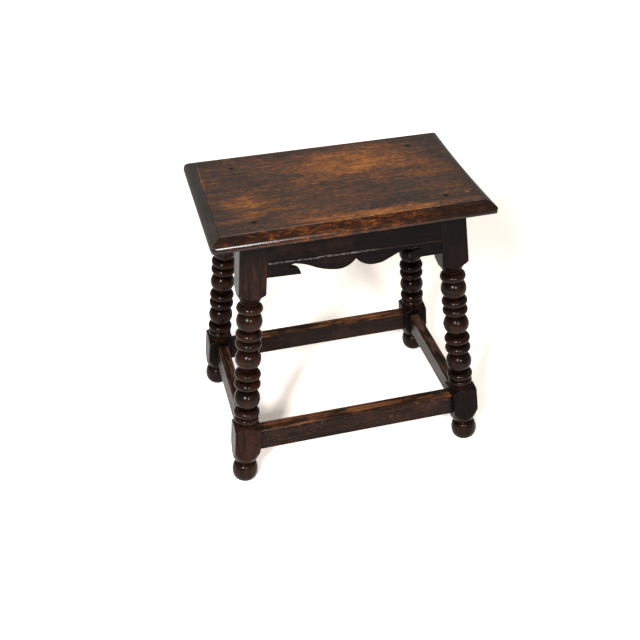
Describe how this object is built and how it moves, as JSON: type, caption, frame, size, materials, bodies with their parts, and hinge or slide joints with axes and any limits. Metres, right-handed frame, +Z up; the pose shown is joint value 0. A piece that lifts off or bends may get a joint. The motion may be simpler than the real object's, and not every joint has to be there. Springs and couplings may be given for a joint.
{
  "type": "joint stool",
  "caption": "Oak joint stool: moulded rectangular seat on splayed legs turned with rings and balls, shaped rails under the seat, low stretchers and pegged mortise joints.",
  "frame": {"origin": "on the floor, under the middle of the seat", "axes": "+Z up; +X along the seat's length; the front, which the picture shows, faces -Y"},
  "size_m": [0.46, 0.3252, 0.48],
  "materials": {
    "seat_oak": "old dark oak, waxed, worn paler along the top and its edge",
    "leg_oak": "nearly black old oak, waxed to a soft gloss",
    "apron_oak": "nearly black old oak, waxed",
    "stretcher_oak": "dark old oak, worn to brown on its upper corner",
    "peg_oak": "dark oak end grain"
  },
  "bodies": {
    "root": {"apron_back": "apron_oak", "apron_front": "apron_oak", "apron_left": "apron_oak", "apron_right": "apron_oak", "leg_back_left": "leg_oak", "leg_back_right": "leg_oak", "leg_front_left": "leg_oak", "leg_front_right": "leg_oak", "peg_apron_back_left_lower": "peg_oak", "peg_apron_back_left_upper": "peg_oak", "peg_apron_back_right_lower": "peg_oak", "peg_apron_back_right_upper": "peg_oak", "peg_apron_front_left_lower": "peg_oak", "peg_apron_front_left_upper": "peg_oak", "peg_apron_front_right_lower": "peg_oak", "peg_apron_front_right_upper": "peg_oak", "peg_apron_left_back_lower": "peg_oak", "peg_apron_left_back_upper": "peg_oak", "peg_apron_left_front_lower": "peg_oak", "peg_apron_left_front_upper": "peg_oak", "peg_apron_right_back_lower": "peg_oak", "peg_apron_right_back_upper": "peg_oak", "peg_apron_right_front_lower": "peg_oak", "peg_apron_right_front_upper": "peg_oak", "peg_stretcher_back_left": "peg_oak", "peg_stretcher_back_right": "peg_oak", "peg_stretcher_front_left": "peg_oak", "peg_stretcher_front_right": "peg_oak", "peg_stretcher_left_back": "peg_oak", "peg_stretcher_left_front": "peg_oak", "peg_stretcher_right_back": "peg_oak", "peg_stretcher_right_front": "peg_oak", "seat_board": "seat_oak", "seat_peg_back_left": "peg_oak", "seat_peg_back_right": "peg_oak", "seat_peg_front_left": "peg_oak", "seat_peg_front_right": "peg_oak", "stretcher_back": "stretcher_oak", "stretcher_front": "stretcher_oak", "stretcher_left": "stretcher_oak", "stretcher_right": "stretcher_oak"}
  },
  "joints": []
}
